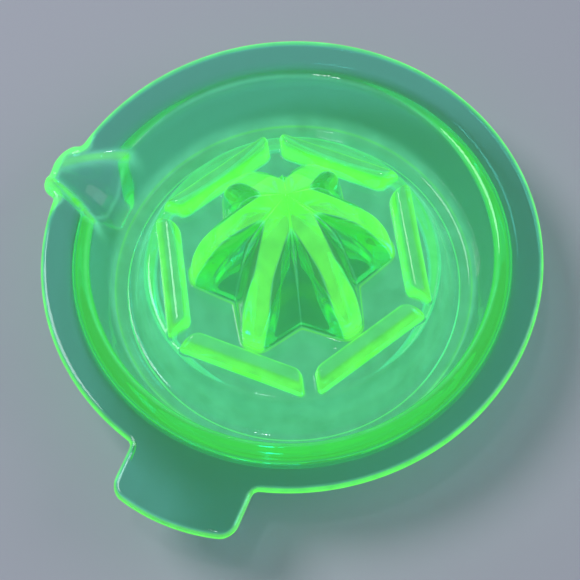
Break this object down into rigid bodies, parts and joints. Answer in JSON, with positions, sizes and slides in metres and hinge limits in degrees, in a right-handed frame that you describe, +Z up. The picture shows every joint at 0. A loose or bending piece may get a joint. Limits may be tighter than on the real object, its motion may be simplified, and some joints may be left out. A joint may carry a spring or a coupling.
{
  "type": "glass citrus reamer",
  "caption": "Pressed uranium glass citrus reamer: round dish with a flat rim, tab handle, pouring spout, fluted cone and seed dam, glowing green under ultraviolet light.",
  "frame": {"origin": "on the table, under the middle of the object's box", "axes": "+Z up out of the dish, -Y along the tab handle, -X along the pouring spout"},
  "size_m": [0.159, 0.168, 0.0607],
  "materials": {
    "uranium_glass": "fire-polished pressed glass, clear yellow-green, fluorescing green under ultraviolet light"
  },
  "bodies": {
    "root": {"foot_ring": "uranium_glass", "juice_channel": "uranium_glass", "centre_platform": "uranium_glass", "bowl_wall": "uranium_glass", "rim_flange": "uranium_glass", "tab_handle": "uranium_glass", "pour_spout": "uranium_glass", "reamer_core": "uranium_glass", "reamer_rib_1": "uranium_glass", "reamer_rib_2": "uranium_glass", "reamer_rib_3": "uranium_glass", "reamer_rib_4": "uranium_glass", "reamer_rib_5": "uranium_glass", "reamer_rib_6": "uranium_glass", "seed_bar_1": "uranium_glass", "seed_bar_2": "uranium_glass", "seed_bar_3": "uranium_glass", "seed_bar_4": "uranium_glass", "seed_bar_5": "uranium_glass", "seed_bar_6": "uranium_glass"}
  },
  "joints": []
}
